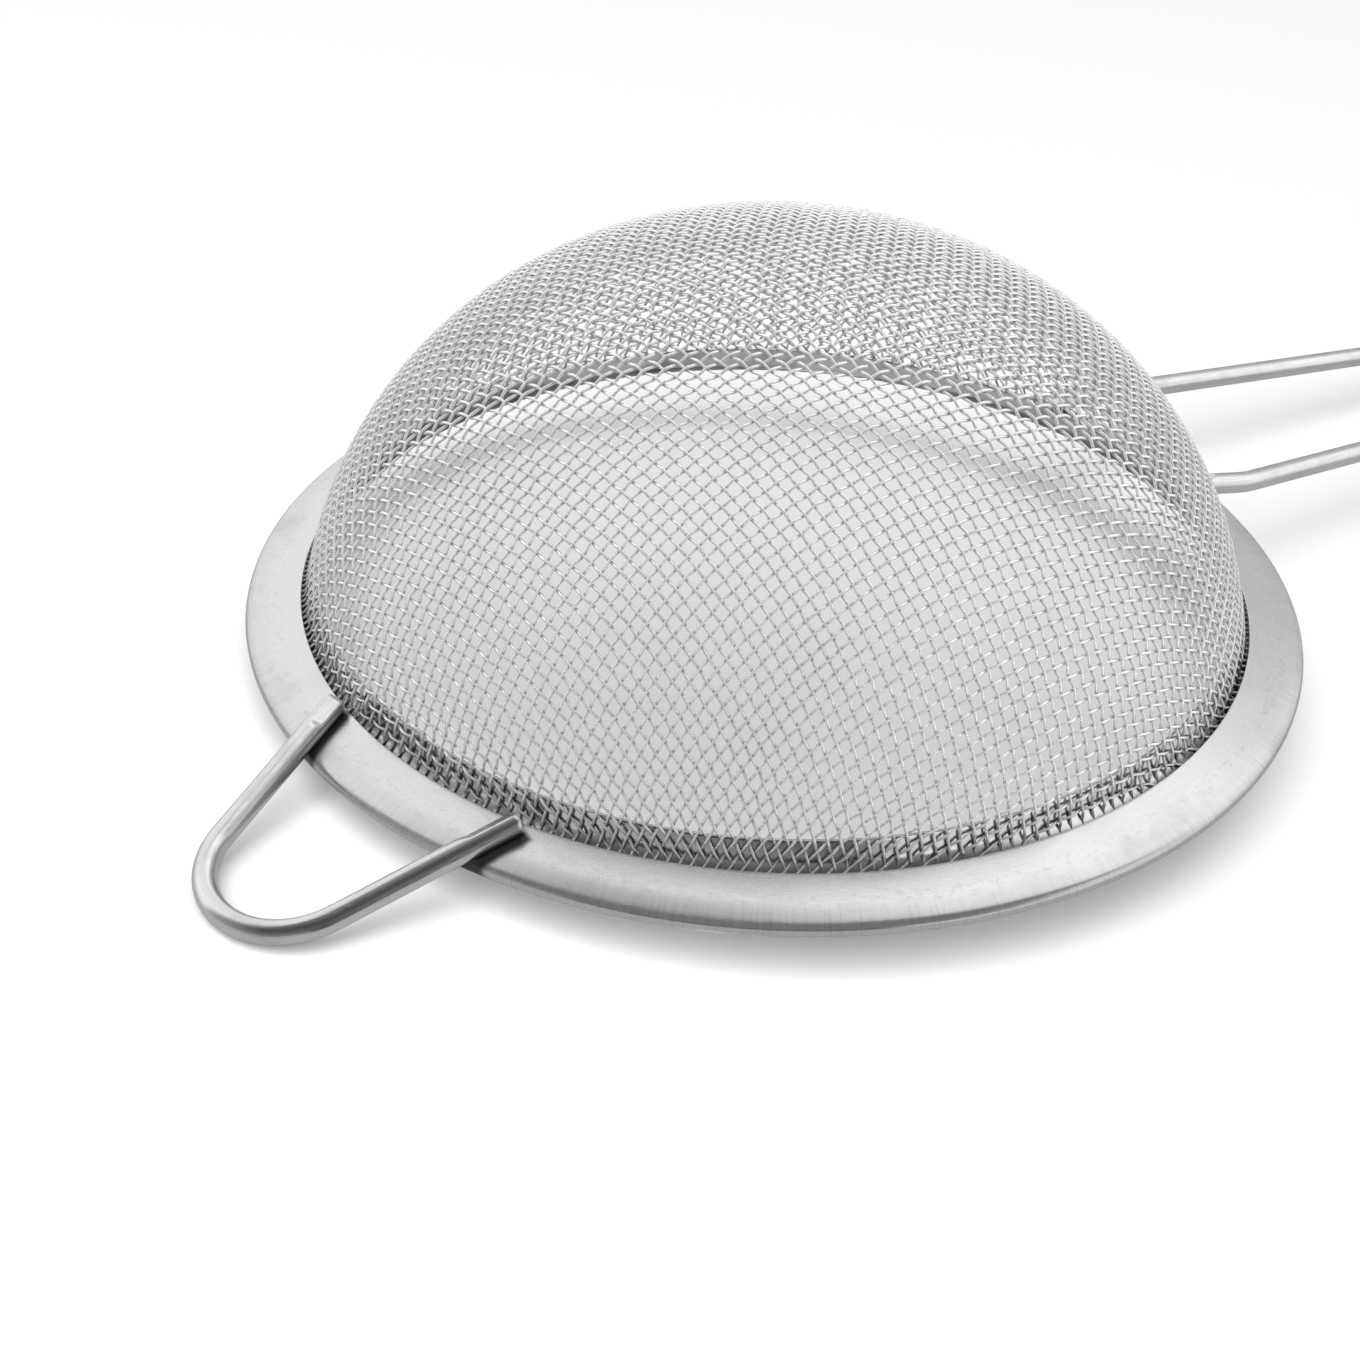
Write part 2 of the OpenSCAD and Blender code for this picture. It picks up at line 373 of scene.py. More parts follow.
def drape_net(bowl, pitches, turns, lowest):
    """Crossings of the cloth drawn over the bowl. Each stays one pitch from its neighbours.

    Pitches and turns are those of the warp and of the weft. The two middle wires follow
    meridians. Every other crossing is the point of the bowl that lies one pitch from the
    crossings before it on both of its wires.
    """
    past_foot = 4 * MM
    n = int((bowl.reach + past_foot) / min(pitches)) + 2
    middle = n - 1
    net = np.full((2 * n - 1, 2 * n - 1, 3), np.nan)
    steps = np.arange(n)
    for su, sv in ((1, 1), (-1, 1), (-1, -1), (1, -1)):
        net[middle + su * steps, middle] = bowl.down(
            steps * pitches[0], turns[0] + (0 if su > 0 else math.pi))
        net[middle, middle + sv * steps] = bowl.down(
            steps * pitches[1], turns[1] + (0 if sv > 0 else math.pi))
        for diagonal in range(2, 2 * n - 1):
            u = np.arange(max(1, diagonal - n + 1), min(n - 1, diagonal - 1) + 1)
            i, j = middle + su * u, middle + sv * (diagonal - u)
            before, corner = (net[i - su, j], net[i, j - sv]), net[i - su, j - sv]
            known = np.isfinite(before[0][:, 0] + before[1][:, 0] + corner[:, 0])
            if not known.any():
                continue
            before = [points[known] for points in before]
            guess = before[0] + before[1] - corner[known]
            for _ in range(NET_PASSES):
                guess = guess + net_step(*misfit(bowl, guess, before, pitches))
            miss, _ = misfit(bowl, guess, before, pitches)
            guess[(np.abs(miss).max(axis=1) > NET_MISS) | (guess[:, 2] < lowest)] = np.nan
            net[i[known], j[known]] = guess
    net[net[..., 2] < lowest] = np.nan
    return net


def misfit(bowl, guess, before, pitches):
    """How far crossings are from one pitch along each wire and from the bowl's face.

    With each of the three distances comes the direction that it is measured in.
    """
    off, normals = bowl.measure(guess)
    ways = [guess - points for points in before]
    lengths = [np.linalg.norm(way, axis=1) for way in ways]
    miss = [far - pitch for far, pitch in zip(lengths, pitches)] + [off]
    rows = [way / far[:, None] for way, far in zip(ways, lengths)] + [normals]
    return np.stack(miss, -1), np.stack(rows, 1)


def net_step(miss, rows):
    """One step of Newton's method towards the next crossings."""
    longest, flattest = 0.5 * MM, 1e-3
    step = np.zeros_like(miss)
    # There is no sound step where the three directions almost lie in one plane.
    sound = np.abs(np.linalg.det(rows)) > flattest
    step[sound] = np.linalg.solve(rows[sound], -miss[sound][..., None])[..., 0]
    return np.clip(step, -longest, longest)


def tuck_under(shape, foot, heading, tuck_l):
    """Points and normals where a wire goes on from the bowl's foot in between the rings."""
    azimuth = math.atan2(foot[1], foot[0])
    side = Vector((-math.sin(azimuth), math.cos(azimuth), 0))
    sideways = Vector(heading).dot(side)
    downwards = math.sqrt(max(Vector(heading).length_squared - sideways ** 2, 1e-12))
    most = 1.2
    # A wire that comes down at a slant goes on at that slant, but never along the rim.
    drift = max(-most, min(most, sideways / downwards))
    r_bend = shape.t + shape.thick / 2
    a0, a1 = math.pi + shape.lean, 1.5 * math.pi - shape.fall
    stops = [(shape.knee + polar(a, r_bend), -polar(a), (a - a0) * r_bend)
             for a in (a0 + 0.5 * (a1 - a0), a1)]
    bent, normal, gone = stops[-1]
    for share in (0.35, 0.7, 1):
        stops.append((bent + polar(-shape.fall, share * tuck_l), normal, gone + share * tuck_l))
    placed = []
    for point, normal, gone in stops:
        a = azimuth + drift * gone / point[0]
        out = Vector((math.cos(a), math.sin(a), 0))
        placed.append([out * r + Vector((0, 0, z)) for r, z in (point, normal)])
    return placed


def lay_wires(net, bowl, shape, tuck_l, family):
    """Every wire of one family: its points, outward normals and which side it passes."""
    middle, fewest = net.shape[0] // 2, 3
    # Between the rings all warp wires lie outside all weft wires.
    hold = 1.0 - 2.0 * family
    wires = []
    for index in range(net.shape[0]):
        line = net[:, index] if family == 0 else net[index]
        above = np.isfinite(line[:, 2]) & (line[:, 2] > shape.foot[1])
        edges = np.flatnonzero(np.diff(np.concatenate([[0], above.astype(int), [0]])))
        for first, past in zip(edges[::2], edges[1::2]):
            if past - first < fewest:
                continue
            numbers = np.arange(first, past)
            side = 1.0 - 2.0 * ((numbers + index - 2 * middle + family) % 2)
            _, normals = bowl.measure(line[first:past])
            body = [(Vector(p), Vector(n), s) for p, n, s in zip(line[first:past], normals, side)]
            head, tail = (wire_tail(line, last, step, bowl, shape, tuck_l, hold)
                          for last, step in ((first, -1), (past - 1, 1)))
            wires.append(head[::-1] + body + tail)
    return wires


def wire_tail(line, last, step, bowl, shape, tuck_l, hold):
    """The end of a wire, from its last crossing over the foot and in between the rings."""
    if not 0 <= last + step < len(line) or not np.isfinite(line[last + step, 0]):
        return []
    a, b = line[last], line[last + step]
    foot = a + (b - a) * (a[2] - shape.foot[1]) / (a[2] - b[2])
    tail, apart, eased = [], 0.25 * MM, 0.4
    if np.linalg.norm(foot - a) > apart:
        _, normal = bowl.measure(foot[None])
        tail.append((Vector(foot), Vector(normal[0]), eased * hold))
    return tail + [(p, n, hold) for p, n in tuck_under(shape, foot, b - a, tuck_l)]


def wire_lines(name, wires, first_reel):
    """A mesh of loose edges, one run for each wire, that the weaving nodes read."""
    stops = [stop for wire in wires for stop in wire]
    edges, start = [], 0
    for wire in wires:
        edges += [(k, k + 1) for k in range(start, start + len(wire) - 1)]
        start += len(wire)
    piece = add_piece(name, [p for p, n, s in stops], edges)
    # Steps of the golden ratio give neighbouring wires numbers that are well apart.
    golden = 0.618
    reels = [(first_reel + k) * golden % 1 for k, wire in enumerate(wires) for _ in wire]
    for label, kind, field, values in (
            ("outward", "FLOAT_VECTOR", "vector", [c for p, n, s in stops for c in n]),
            ("side", "FLOAT", "value", [s for p, n, s in stops]),
            ("reel", "FLOAT", "value", reels)):
        piece.data.attributes.new(label, kind, "POINT").data.foreach_set(field, values)
    return piece


# ---------------------------------------------------------------- node trees

class Value:
    """An output of a node, which can be added to, taken from, multiplied and divided."""

    def __init__(self, t, socket):
        self.t, self.socket = t, socket

    def __add__(self, other):
        return self.t.math("ADD", self, other)

    __radd__ = __add__

    def __sub__(self, other):
        return self.t.math("SUBTRACT", self, other)

    def __mul__(self, other):
        return self.t.math("MULTIPLY", self, other)

    def __truediv__(self, other):
        return self.t.math("DIVIDE", self, other)

    def clamped(self):
        """The same value, kept from 0 to 1."""
        self.socket.node.use_clamp = True
        return self


class Tree:
    """Short hand for adding nodes to a tree and joining them."""

    def __init__(self, tree):
        self.tree = tree

    def add(self, kind, settings=None, **inputs):
        """Adds a node. An input goes by its name, or by the letter i and its number."""
        node = self.tree.nodes.new(kind)
        for name, value in (settings or {}).items():
            setattr(node, name, value)
        for name, value in inputs.items():
            key = int(name[1:]) if name[1:].isdigit() else name.replace("_", " ")
            self.feed(node.inputs[key], value)
        return node

    def feed(self, socket, value):
        """Sets a socket, or joins it to a value or to the first output of a node."""
        if isinstance(value, bpy.types.Node):
            value = value.outputs[0]
        if isinstance(value, Value):
            value = value.socket
        if isinstance(value, bpy.types.NodeSocket):
            self.tree.links.new(value, socket)
        else:
            socket.default_value = value

    def value(self, kind, settings=None, output=0, **inputs):
        """Adds a node and gives one of its outputs."""
        return Value(self, self.add(kind, settings, **inputs).outputs[output])

    def math(self, operation, a, b=0.0):
        return self.value("ShaderNodeMath", {"operation": operation}, i0=a, i1=b)

    def spread(self, value, low, high, to_low, to_high):
        """Maps a range of a value on to another range."""
        return self.value("ShaderNodeMapRange", Value=value, From_Min=low, From_Max=high,
                          To_Min=to_low, To_Max=to_high)

    def fade(self, value, none, full):
        """0 at one end of a range and 1 at the other, with a smooth run between them."""
        return self.value("ShaderNodeMapRange", {"interpolation_type": "SMOOTHSTEP"},
                          Value=value, From_Min=none, From_Max=full)

    def noise(self, place, scale, detail, roughness):
        return self.value("ShaderNodeTexNoise", None, "Fac", Vector=place, Scale=scale,
                          Detail=detail, Roughness=roughness)

    def attribute(self, name, output="Fac"):
        return self.value("ShaderNodeAttribute", {"attribute_name": name}, output)

    def place(self):
        """Where the surface is, in the piece's own coordinates."""
        return self.value("ShaderNodeTexCoord", None, "Object")

    def parts(self, vector):
        """The three parts of a vector."""
        node = self.add("ShaderNodeSeparateXYZ", Vector=vector)
        return [Value(self, socket) for socket in node.outputs]

    def mix(self, share, first, second):
        """A colour between two others, which are values or plain colours."""
        node = self.add("ShaderNodeMix", {"data_type": "RGBA"}, Factor=share)
        for number, colour in ((6, first), (7, second)):
            self.feed(node.inputs[number], colour if isinstance(colour, Value) else (*colour, 1))
        return Value(self, node.outputs[2])


def new_wire_tree(name, wire, sides, step):
    """A geometry tree for round wire: its helper, its inputs and the wire's radius."""
    tree = bpy.data.node_groups.new(name, "GeometryNodeTree")
    tree.is_modifier = True
    for label, kind, default in (("Geometry", "Geometry", None), ("Wire", "Float", wire),
                                 ("Sides", "Int", sides), step, ("Steel", "Material", None)):
        socket = tree.interface.new_socket(label, in_out="INPUT", socket_type="NodeSocket" + kind)
        if default is not None:
            socket.default_value = default
    tree.interface.new_socket("Geometry", in_out="OUTPUT", socket_type="NodeSocketGeometry")
    t = Tree(tree)
    given = t.add("NodeGroupInput").outputs
    return t, given, t.math("MULTIPLY", given["Wire"], 0.5)


def finish_wire_tree(t, given, path, section):
    """Draws a section along a path, with closed ends and in its steel."""
    drawn = t.add("GeometryNodeCurveToMesh", Curve=path, Profile_Curve=section, Fill_Caps=True)
    shaded = t.add("GeometryNodeSetShadeSmooth", Geometry=drawn)
    real = t.add("GeometryNodeRealizeInstances", Geometry=shaded)
    steel = t.add("GeometryNodeSetMaterial", Geometry=real, Material=given["Steel"])
    t.add("NodeGroupOutput", i0=steel)
    return t.tree


def cloth_tree():
    """Crimps each run of crossings over and under its neighbours and gives it thickness."""
    t, given, radius = new_wire_tree("Weave cloth", 0.23 * MM, 6, ("Steps", "Int", 4))
    outward = t.value("GeometryNodeInputNamedAttribute", {"data_type": "FLOAT_VECTOR"},
                      Name="outward")
    side = t.value("GeometryNodeInputNamedAttribute", {"data_type": "FLOAT"}, Name="side")
    shift = t.add("ShaderNodeVectorMath", {"operation": "SCALE"}, i0=outward, Scale=side * radius)
    crimped = t.add("GeometryNodeSetPosition", Geometry=given["Geometry"], Offset=shift)
    runs = t.add("GeometryNodeMeshToCurve", Mesh=crimped)
    smooth = t.add("GeometryNodeCurveSplineType", {"spline_type": "CATMULL_ROM"}, Curve=runs)
    stepped = t.add("GeometryNodeSetSplineResolution", Geometry=smooth, Resolution=given["Steps"])
    section = t.add("GeometryNodeCurvePrimitiveCircle", Resolution=given["Sides"], Radius=radius)
    return finish_wire_tree(t, given, stepped, section)


def bent_wire_tree():
    """Turns a path into round wire that knows how far along and round it each point is."""
    t, given, radius = new_wire_tree("Draw bent wire", 1.8 * MM, 36, ("Step", "Float", 0.25 * MM))
    run = t.add("GeometryNodeMeshToCurve", Mesh=given["Geometry"])
    even = t.add("GeometryNodeResampleCurve", {"mode": "LENGTH"}, Curve=run, Length=given["Step"])
    gone = t.value("GeometryNodeSplineParameter", None, "Length")
    circle = t.add("GeometryNodeCurvePrimitiveCircle", Resolution=given["Sides"], Radius=radius)
    unit = t.add("ShaderNodeVectorMath", {"operation": "NORMALIZE"},
                 i0=t.add("GeometryNodeInputPosition"))
    path, section = [
        t.add("GeometryNodeStoreNamedAttribute", {"data_type": kind, "domain": "POINT"},
              Geometry=curve, Name=name, Value=value)
        for curve, name, kind, value in ((even, "along", "FLOAT", gone),
                                         (circle, "around", "FLOAT_VECTOR", unit))]
    return finish_wire_tree(t, given, path, section)


def run_tree(piece, tree, values):
    """Runs a geometry tree on a piece and leaves the result as its plain mesh."""
    modifier = piece.modifiers.new(tree.name, "NODES")
    modifier.node_group = tree
    inputs = {item.name: item.identifier for item in tree.interface.items_tree
              if item.item_type == "SOCKET" and item.in_out == "INPUT"}
    for name, value in values.items():
        modifier[inputs[name]] = value
    evaluated = piece.evaluated_get(bpy.context.evaluated_depsgraph_get())
    made = bpy.data.meshes.new_from_object(evaluated)
    piece.modifiers.remove(modifier)
    old, piece.data = piece.data, made
    made.name = piece.name
    bpy.data.meshes.remove(old)
    if not made.polygons:
        raise RuntimeError(f"{tree.name} made nothing of {piece.name}")


# ---------------------------------------------------------------- bent wires

def leg_angle(reach, y, r):
    """Angle of the leg that leaves a point y off the axis and runs on to the end arc."""
    return math.atan2(y, reach) - math.asin(r / math.hypot(reach, y))


def end_arc_points(centre_x, r, lean):
    """The round end of a U of wire, from its left leg to its right leg."""
    steps = 48
    turns = np.linspace(math.pi / 2 - lean, lean - math.pi / 2, steps + 1)
    return [Vector((centre_x + r * math.cos(a), r * math.sin(a), 0)) for a in turns]


def weld_line(shape, wires):
    """Distance from the axis and height of the wires' centres over the flange."""
    r = shape.wall_r + shape.flange_l / 2 * math.cos(shape.fall)
    z = (shape.knee[1] - shape.flange_l / 2 * math.sin(shape.fall)
         + (wires.wire / 2 - wires.weld_press) / math.cos(shape.fall))
    return r, z


def wire_ends(path):
    """Each cut end of a wire, with the next point of its centre line."""
    return (path[0], path[1]), (path[-1], path[-2])


def chord(r, y):
    """How far along x a circle round the axis is at y."""
    return math.sqrt(r * r - y * y)


def rest_loop_path(shape, wires):
    """Path of the rest loop, from one cut end to the other."""
    weld_r, weld_z = weld_line(shape, wires)
    y, r = wires.rest_width / 2, wires.rest_end
    root_x = chord(weld_r, y)
    reach = (shape.rim_r + wires.rest_out - wires.wire / 2 - root_x) / math.cos(wires.fall) - r
    spread = leg_angle(reach, y, r)
    tail = root_x - chord(shape.wall_r + wires.end_gap, y)
    left = Vector((-tail * math.cos(spread), y + tail * math.sin(spread), 0))
    right = Vector((left.x, -left.y, 0))
    flat = [left] + end_arc_points(reach, r, spread) + [right]
    place = (Matrix.Rotation(math.pi + wires.rest_turn, 4, "Z")
             @ Matrix.Translation((root_x, 0, weld_z)) @ Matrix.Rotation(wires.fall, 4, "Y"))
    return [place @ p for p in flat]


def handle_path(shape, wires):
    """Path of the handle: root, bend, leg, round end, and the same again mirrored."""
    weld_r, weld_z = weld_line(shape, wires)
    y, r = wires.handle_width / 2, wires.handle_end
    bend_x = shape.rim_r + wires.bend_out
    tip_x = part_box("handle_wire")[1][0]
    reach = (tip_x - wires.wire / 2 - bend_x) / math.cos(wires.handle_fall) - r
    taper = leg_angle(reach, y, r)
    weld_y = y - (bend_x - weld_r) * math.tan(wires.splay)
    bend_z = weld_z - (bend_x - chord(weld_r, weld_y)) * math.tan(wires.fall)
    root_l = ((bend_x - chord(shape.wall_r + wires.end_gap, weld_y))
              / math.cos(wires.fall) / math.cos(wires.splay))
    corner = Vector((bend_x, y, bend_z))
    fall = Matrix.Rotation(wires.handle_fall, 4, "Y")
    leg = (fall @ Vector((math.cos(taper), -math.sin(taper), 0))).normalized()
    root = (Matrix.Rotation(wires.fall, 4, "Y")
            @ Vector((math.cos(wires.splay), math.sin(wires.splay), 0))).normalized()
    turn = root.angle(leg)
    cut = wires.bend_radius * math.tan(turn / 2)
    centre = corner + (leg - root).normalized() * wires.bend_radius / math.cos(turn / 2)
    start, axis = corner - root * cut - centre, root.cross(leg)
    steps = 12
    bend = [centre + Matrix.Rotation(turn * k / steps, 3, axis) @ start
            for k in range(steps + 1)]
    arc = [Matrix.Translation((bend_x, 0, bend_z)) @ fall @ p
           for p in end_arc_points(reach, r, taper)]
    left = [corner - root * root_l] + bend
    right = [Vector((p.x, -p.y, p.z)) for p in reversed(left)]
    return left + arc + right


def press_welds(piece, path, shape, wires, flats):
    """Presses the wire's two ends on to the flange, with a flat where each was struck.

    Each flat is its depth, its length and how far it is rolled to the side.
    """
    # How far the cut ends are eased and narrowed, where the flats run out, and the air
    # left under the wires.
    eased, narrowed, run_out, air = 0.1 * MM, 0.14, 0.25, 0.002 * MM
    mesh = piece.data
    points = np.empty(len(mesh.vertices) * 3)
    mesh.vertices.foreach_get("co", points)
    points = points.reshape(-1, 3)
    half = wires.wire / 2
    for (end, inner), (depth, reach, rolled) in zip(wire_ends(path), flats):
        ahead = (inner - end).normalized()
        up = Vector((0, 0, 1))
        up = (up - ahead * up.dot(ahead)).normalized()
        struck = np.array(Matrix.Rotation(rolled, 3, ahead) @ up)
        end, ahead = np.array(end), np.array(ahead)
        away = points - end
        along = away @ ahead
        radial = away - along[:, None] * ahead
        near = (along < reach) & (np.linalg.norm(radial, axis=1) < 1.5 * half) & (along > -eased)
        ease = np.clip(1 - along / eased, 0, 1)[:, None]
        high = radial @ struck - (half - depth * ramp(reach - along, 0, run_out * reach))
        moved = (radial * (1 - narrowed * ease ** 2)
                 - np.clip(high, 0, None)[:, None] * struck)
        points[near] = (end + along[:, None] * ahead + moved)[near]
    r = np.hypot(points[:, 0], points[:, 1])
    seat = flange_height(shape, r) + air
    sunk = (r > shape.wall_r) & (r < shape.fold_c[0]) & (points[:, 2] < seat)
    points[sunk, 2] = seat[sunk]
    mesh.vertices.foreach_set("co", points.ravel())
    mesh.update()


def bend_wire(name, node, path, flats):
    """Draws round wire along a path and presses its ends on to the flange."""
    scene = bpy.context.scene
    wires = scene.strainer_wires
    piece = add_piece(name, path, [(k, k + 1) for k in range(len(path) - 1)])
    steel = bent_wire_steel(scene.strainer_steel)
    run_tree(piece, bent_wire_tree(), {"Wire": wires.wire, "Sides": wires.sides,
                                       "Step": wires.step, "Steel": steel})
    press_welds(piece, path, rim_shape(), wires, flats)
    face_out(piece.data)
    piece.data.set_sharp_from_angle(angle=50 * DEG)
    finish_piece(piece, node, steel)


# ---------------------------------------------------------------- steels

def new_material(name):
    """An empty material, found or made by its name, and the helper of its tree."""
    material = bpy.data.materials.get(name) or bpy.data.materials.new(name)
    material.use_nodes = True
    material.node_tree.nodes.clear()
    return material, Tree(material.node_tree)


def new_steel(name, colour, bare=1.0):
    """A metal material, bare or with some film on it, its tree's helper and its shader."""
    material, t = new_material(name)
    shader = t.add("ShaderNodeBsdfPrincipled", Base_Color=(*colour, 1), Metallic=bare)
    t.add("ShaderNodeOutputMaterial", Surface=shader)
    return material, t, shader


def finish_steel(t, shader, colour, roughness, relief, strength, depth):
    """Feeds a steel's colour and roughness, and its fine relief of a strength and depth."""
    bump = t.add("ShaderNodeBump", Strength=strength, Distance=depth, Height=relief)
    for name, value in (("Base Color", colour), ("Roughness", roughness), ("Normal", bump)):
        t.feed(shader.inputs[name], value)


def ring_place(t, round_scale, across_scale, up_scale):
    """Coordinates that run round the bowl's axis without a seam, each with its own scale.

    They come with the distance from the axis and the height.
    """
    x, y, z = t.parts(t.place())
    r = t.math("MAXIMUM", t.math("SQRT", x * x + y * y), 1e-6)
    place = t.value("ShaderNodeCombineXYZ", X=x / r * round_scale, Y=y / r * round_scale,
                    Z=r * across_scale + z * up_scale)
    return place, r, z


def painted_leg_shadow(t, legs, shadow_side):
    """1 on the flange's strip beside each leg, where its shadow is painted, fading away from it.

    Each leg is its cut end and the next point of its centre line. The strip shows on the
    side of the leg that the given direction points to.
    """
    x, y, _ = t.parts(t.place())

    def strip(end, inner):
        ahead = (inner - end).to_2d().normalized()
        side = Vector((-ahead.y, ahead.x))
        side *= math.copysign(1, side.dot(shadow_side))
        off = x * side.x + y * side.y - side.dot(end.to_2d())
        gone = x * ahead.x + y * ahead.y - ahead.dot(end.to_2d())
        return (t.fade(off, 1.7 * MM, 1.1 * MM) * t.fade(off, -1.2 * MM, -0.8 * MM)
                * t.fade(gone, -0.6 * MM, -0.1 * MM))

    return sum(strip(*leg) for leg in legs)


def rim_sheet_steel(colours, shape, legs):
    """Satin sheet: fine marks round the rim, crazed by the fold, with painted shade at its edge and
    painted shadow beside the welds.
    """
    material, t, shader = new_steel("rim_sheet_steel", colours.sheet, 0.87)
    grain_place, r, _ = ring_place(t, 26, 9000, 9000)
    grain = t.noise(grain_place, 1.0, 3, 0.6)
    cloud = t.noise(ring_place(t, 7, 260, 120)[0], 1.0, 3, 0.55)
    streaks = t.noise(ring_place(t, 640, 60, 60)[0], 1.0, 3, 0.7)
    craze = t.noise(t.place(), 2600, 3, 0.6)
    specks = t.noise(t.place(), 2100, 4, 0.7)
    inner, outer = shape.wall_r, shape.rim_r
    folded = t.fade(r, inner + 2.0 * MM, outer - 0.9 * MM)
    # Towards the fold's outer edge the sheet is smoother from wear and darkened as painted shade.
    worn_and_shaded_edge = t.fade(r, outer - 0.75 * MM, outer - 0.1 * MM)
    drawn = t.fade(streaks, 0.45, 0.72) * t.fade(r, outer - 1.9 * MM, outer - 0.9 * MM)
    specked = (t.fade(specks, 0.5, 0.72) * t.spread(r, inner + 1.2 * MM, inner + 1.9 * MM, 0, 1)
               * t.spread(r, outer - 1.6 * MM, outer - 1.0 * MM, 1, 0))
    dull = (t.fade(cloud, 0.52, 0.78) * 0.16 + folded * craze * 0.08 + worn_and_shaded_edge * 0.25
            + drawn * 0.3 + specked * 0.25).clamped()
    # Painted shadow beside each leg on the flange, on one side only, in place of the leg's shadow and
    # dark reflection.
    shadow_side = Vector((math.cos(colours.shadow_side), math.sin(colours.shadow_side)))
    weld = (painted_leg_shadow(t, legs, shadow_side) * 0.93).clamped()
    rough = (t.spread(cloud, 0.3, 0.75, 0.22, 0.32) + t.spread(grain, 0.3, 0.7, -0.03, 0.05)
             + folded * 0.06 - worn_and_shaded_edge * 0.08)
    colour = t.mix(weld, t.mix(dull, colours.sheet, colours.tarnish_and_shade), colours.weld)
    finish_steel(t, shader, colour, rough, grain * 0.35 + craze * folded * 1.3, 0.35, 0.006 * MM)
    return material


def collar_steel(colours, shape):
    """Bright sheet with the upright marks that drawing leaves, and painted shade on its inside."""
    material, t, shader = new_steel("collar_steel", colours.collar)
    mark_place, r, z = ring_place(t, 420, 500, 160)
    marks = t.noise(mark_place, 1.0, 3, 0.6)
    smear = t.noise(t.place(), 160, 3, 0.6)
    lean = shape.collar_lean
    depth = (r - shape.knee[0]) * math.cos(lean) + (z - shape.knee[1]) * math.sin(lean)
    # Painted shade greys the collar's inside face, where random smears also show more strongly.
    inside = t.spread(depth, shape.t * 0.5 - shape.stack, shape.t * 0.7 - shape.stack, 1, 0)
    smeared = (t.fade(smear, 0.4, 0.75) * 0.8 + 0.2) * (inside * 0.5 + 0.12)
    dull = (smeared + inside * 0.5).clamped()
    rough = t.spread(smear, 0.3, 0.75, 0.13, 0.24) + t.spread(marks, 0.3, 0.7, -0.02, 0.05)
    finish_steel(t, shader, t.mix(dull, colours.collar, colours.tarnish_and_shade), rough, marks,
                 0.4, 0.01 * MM)
    return material


def bent_wire_steel(colours):
    """Drawn wire: long fine scratches, and a duller film in places."""
    material, t, shader = new_steel("bent_wire_steel", colours.bent_wire)
    across, up, _ = t.parts(t.attribute("around", "Vector"))
    scratch_place = t.value("ShaderNodeCombineXYZ", X=across * 14, Y=up * 14,
                            Z=t.attribute("along") * 300)
    scratches = t.noise(scratch_place, 1.0, 4, 0.65)
    pits = t.noise(t.place(), 1900, 3, 0.6)
    smear = t.noise(t.place(), 210, 3, 0.55)
    dull = (t.fade(smear, 0.48, 0.75) * 0.18 + t.fade(pits, 0.6, 0.8) * 0.2
            + t.fade(scratches, 0.5, 0.72) * 0.3)
    rough = t.spread(smear, 0.3, 0.75, 0.16, 0.26) + t.spread(scratches, 0.3, 0.7, -0.03, 0.06)
    finish_steel(t, shader, t.mix(dull, colours.bent_wire, colours.tarnish_and_shade), rough,
                 scratches + pits * 0.5, 0.5, 0.02 * MM)
    return material


def cloth_steel(colours):
    """Fine wire, painted darker as shade where it dips under a crossing and low down by the rim."""
    material, t, shader = new_steel("cloth_steel", colours.cloth, 0.72)
    smear = t.noise(t.place(), 130, 3, 0.6)
    pits = t.noise(t.place(), 5200, 2, 0.6)
    # Painted shade: the wire is greyed where it dips under a crossing wire and low down by the rim;
    # smears and each wire's reel add random tone.
    dipped = t.fade(t.attribute("side"), -0.3, -1)
    low = t.fade(t.parts(t.place())[2], 5 * MM, 2.5 * MM)
    dull = (dipped * 0.5 + t.fade(smear, 0.45, 0.75) * 0.12 + low * 0.4
            + t.attribute("reel") * 0.06).clamped()
    rough = t.spread(pits, 0.3, 0.7, 0.2, 0.3) + dipped * 0.08
    finish_steel(t, shader, t.mix(dull, colours.cloth, colours.tarnish_and_shade), rough, pits,
                 0.25, 0.004 * MM)
    return material


# ---------------------------------------------------------------- stage

# How far past the loop's tip the floor goes on sloping
SLOPE_ON = 0.02


def looked_at(t):
    """1 for rays that show the stage itself: to the camera, in metal and through glass."""
    path = t.add("ShaderNodeLightPath").outputs
    seen = t.math("MAXIMUM", path["Is Camera Ray"], path["Is Glossy Ray"])
    return t.math("MAXIMUM", seen, path["Is Transmission Ray"])


def floor_height(x):
    """Height of the floor that the loop's tip and the handle's end lie on.

    It slopes from the one to the other, and is level beyond the tip.
    """
    (tip_x, _, tip_z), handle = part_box("rest_loop")[0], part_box("handle_wire")
    slope = (handle[0][2] - tip_z) / (handle[1][0] - tip_x)
    return tip_z + slope * (max(x, tip_x - SLOPE_ON) - tip_x) - 0.2 * MM


def stage_piece(name, corners, faces, material):
    """A piece of the stage, which isn't part of the strainer."""
    piece = add_piece(name, corners, faces=faces)
    piece.data.materials.append(material)
    return piece


def reflect_only(piece):
    """Hides a piece of the stage from everything but reflections."""
    for ray in ("camera", "diffuse", "shadow", "transmission", "volume_scatter"):
        setattr(piece, "visible_" + ray, False)


